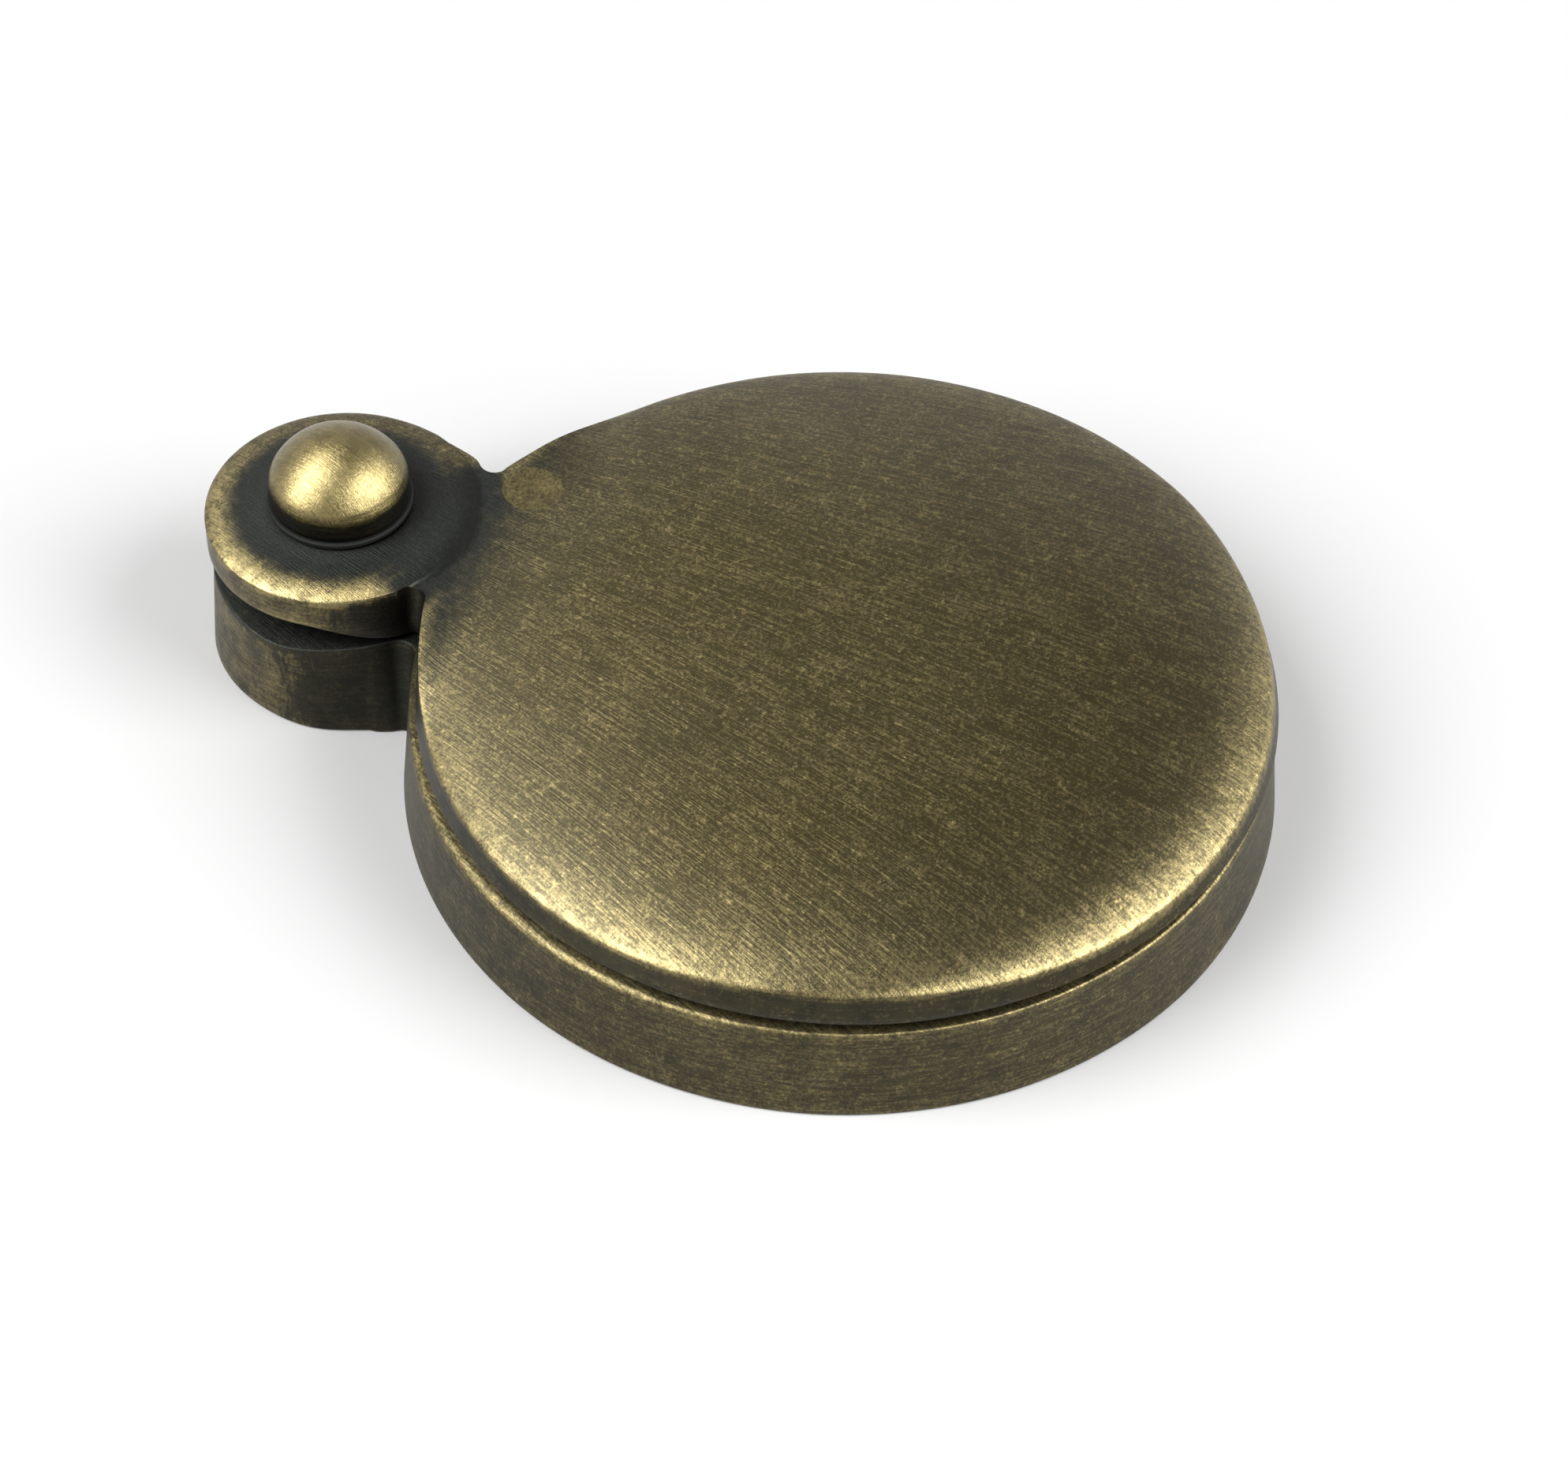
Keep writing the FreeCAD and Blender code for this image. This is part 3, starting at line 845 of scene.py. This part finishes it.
def cover_wear(points):
    """Rubbed along the rim of the face and the back edge, and most of all round the lobe's tip."""
    x, y, z = points.T
    outside = np.hypot(x, y - PIVOT_Y)
    inset = nearest(points[:, :2], outline(*COVER_OUTLINE)[0])[0]
    band_top = disc_band_top(x, y)
    on_lobe = smooth_step(PIVOT_Y - 5.0, PIVOT_Y - 3.6, y)
    lobe_top = z > COVER_BACK + LOBE_BAND - 0.1
    rim = smooth_step(3.9, 5.2, outside) * lobe_top * on_lobe * (0.14 + 0.30 * smooth_step(4, -2, x))
    tip = (1 - lobe_top) * on_lobe * smooth_step(PIVOT_Y - 3.5, PIVOT_Y - 1, y) * 0.16
    disc_rim = np.exp(-((inset - 0.3) / 0.2) ** 2) * (1 - on_lobe) * (0.22 + 0.3 * rim_drop(x, y))
    disc_rim *= z > band_top - 0.15
    shoulder = np.exp(-((inset - 0.6) / 1.1) ** 2) * (1 - on_lobe) * (z > band_top + 0.2) * 0.10
    lower = COVER_BACK + 0.35 + 0.7 * on_lobe
    back_edge = np.exp(-((z - lower) / 0.10) ** 2) * (inset < 0.3) * (0.12 + 0.35 * on_lobe)
    band = -0.14 * (inset < 0.25) * (z < band_top - 0.1) * (1 - on_lobe)
    return np.maximum.reduce([rim, tip, disc_rim, shoulder, back_edge]) + band


def cover_soot(points):
    """Dark in the dish round the rivet head, over the neck and in the notches, and painted shade on the back
    and its lower bevel, in the gap over the plate.
    """
    x, y, z = points.T
    outside = np.hypot(x, y - PIVOT_Y)
    neck_y = COVER_Y + COVER_R
    away = off_notch(points, *COVER_OUTLINE)
    inset = nearest(points[:, :2], outline(*COVER_OUTLINE)[0])[0]
    face = smooth_step(neck_y - 2.6, neck_y + 0.3, y) * (1 - smooth_step(3.7, 5.0, outside))
    keep_rim = np.maximum(smooth_step(0.15, 0.9, inset), 1 - smooth_step(0.5, 1.7, away))
    saddle = smooth_step(neck_y - 4.3, neck_y + 0.2, y) * (1 - smooth_step(neck_y + 0.9, neck_y + 2.6, y))
    face = np.maximum(face * smooth_step(0.15, 0.7, inset), saddle * keep_rim)
    walls = (1 - smooth_step(1.9, 4.1, away)) * (z < COVER_BACK + LOBE_BAND - 0.1) * (y > neck_y - 0.6)
    # Painted shade: the back and its lower bevel are darkened where they face the gap over the plate
    below = 0.8 * (z < COVER_BACK + 0.3 + 0.6 * (y > neck_y)) * (inset > 0.05)
    return np.clip(np.maximum.reduce([face, walls, below]), 0, 1)


def cover_shade(points):
    """The side band of the disc is darker than its face, and so is the face beside the neck."""
    x, y, z = points.T
    band_top = disc_band_top(x, y)
    band = (1 - smooth_step(band_top - 0.1, band_top + 0.1, z)) * (y < COVER_Y + COVER_R)
    band *= 0.35 + 0.25 * smooth_step(0, 12, y) - 0.4 * rim_drop(x, y)
    face = 0.25 * smooth_step(5, 14, y) * smooth_step(-8, 2, x)
    return np.maximum(band, face)


def cover_dull(points):
    """Greyer towards the lobe and round the rim, and a painted sheen that greys and lightens the disc
    towards +X.
    """
    x, y, z = points.T
    rim = smooth_step(0.55, 1.0, np.hypot(x, y - COVER_Y) / COVER_R)
    # Painted sheen: the disc's face is greyer and lighter towards +X, the side away from the camera
    far = smooth_step(2, 14, x)
    left = smooth_step(0, -9, x) * smooth_step(-2, 8, y)
    return np.clip(0.4 * rim + 0.8 * far * (1 - smooth_step(5, 13, y)) + 0.3 * left, 0, 1)


def plate_wear(points):
    """Rubbed along the front bevel of the disc, the back edge and the lobe's tip."""
    x, y, z = points.T
    inset = nearest(points[:, :2], outline(*PLATE_FRONT_OUTLINE)[0])[0]
    disc = 1 - smooth_step(PIVOT_Y - 6.5, PIVOT_Y - 4.5, y)
    bevel = smooth_step(PLATE_T - 0.42, PLATE_T - 0.12, z) * (1 - smooth_step(0.4, 1.2, inset)) * disc * 0.13
    foot = (1 - smooth_step(0.1, 0.9, z)) * (0.12 + 0.2 * (1 - disc))
    tip = smooth_step(PIVOT_Y - 4, PIVOT_Y + 1, y) * 0.22
    return np.maximum.reduce([bevel, foot, tip])


def plate_soot(points):
    """Dark in the notches and in the holes, and painted shade on the face under the cover, in the gap
    between the parts.
    """
    x, y, z = points.T
    away = off_notch(points, *PLATE_BACK_OUTLINE)
    from_middle = np.hypot(x, y)
    notch = (1 - smooth_step(1.2, 7.5, away)) * (0.55 + 0.45 * smooth_step(PLATE_R - 1.6, PLATE_R + 0.2, y))
    # Painted shade: the face under the cover's lobe and disc is darkened as the gap's shadow
    lobe_face = (z > PLATE_T - 0.2) * 0.9 * (y > COVER_Y + COVER_R)
    holes = (from_middle < PLATE_R - 1.0) * (z < PLATE_T - 0.05) * (z > 0.05) * 0.5
    covered = 1 - smooth_step(PLATE_FRONT_R - 1.4, PLATE_FRONT_R - 0.7, from_middle)
    face = (z > PLATE_T - 0.05) * covered * 0.8
    return np.clip(np.maximum.reduce([notch, lobe_face, holes, face]), 0, 1)


def plate_shade(points):
    """The side wall gets darker towards the lobe."""
    x, y, z = points.T
    return (0.08 + 0.25 * smooth_step(-2, 12, y)) * (z < PLATE_T - 0.3)


def rivet_wear(points):
    rim = washer_high.z + SKIRT_H
    return smooth_step(rim - 0.12, rim + 0.25, points[:, 2]) * 0.32


# Painted shade: the skirt below the dome's rim, and everything under it, is darkened
def rivet_soot(points):
    rim = washer_high.z + SKIRT_H
    return 0.8 * (1 - smooth_step(rim - 0.5, rim + 0.15, points[:, 2]))


def finish_piece(piece, body, node, material):
    piece.data.materials.clear()
    piece.data.materials.append(material)
    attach(piece, body)
    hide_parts(node)


add_camera()
add_world()
add_floor()
add_softbox("softbox_left", **LEFT_SOFTBOX)
add_softbox("softbox_right", **RIGHT_SOFTBOX)

cover = make_cover()
mark(cover, wear=cover_wear, soot=cover_soot, shade=cover_shade, dull=cover_dull)
cover_brass = aged_brass("aged_cover_brass", stretched=0.6)
finish_piece(cover, "cover", "swing_cover", cover_brass)
pin = make_pin()
mark(pin, wear=0.15, soot=0, shade=0, dull=0.3)
pin_brass = aged_brass("aged_pin_brass", hairs=0.2, roughness=0.45)
finish_piece(pin, "cover", "stop_pin", pin_brass)
plate = make_plate()
mark(plate, wear=plate_wear, soot=plate_soot, shade=plate_shade, dull=0.4)
plate_brass = aged_brass("aged_plate_brass", roughness=0.47)
finish_piece(plate, "plate", "base_plate", plate_brass)
rivet = make_rivet()
mark(rivet, wear=rivet_wear, soot=rivet_soot, shade=0, dull=0)
rivet_brass = aged_brass("aged_rivet_brass", hairs=0.8, roughness=0.32, ragged=0.8, spots=0.45)
finish_piece(rivet, "plate", "pivot_rivet", rivet_brass)
washer = make_washer()
# Painted shade: the washer under the head is painted black through both dark layers
mark(washer, wear=0, soot=1, shade=1, dull=0)
washer_brass = aged_brass("aged_washer_brass", hairs=0.2, roughness=0.7)
finish_piece(washer, "plate", "head_washer", washer_brass)
# The thrust washer keeps its CAD mesh, which has no layers, so only its material changes
thrust = frame["nodes"]["thrust_washer"].data.materials
thrust.clear()
thrust.append(washer_brass)

scene = bpy.context.scene
scene.view_settings.view_transform = "Standard"
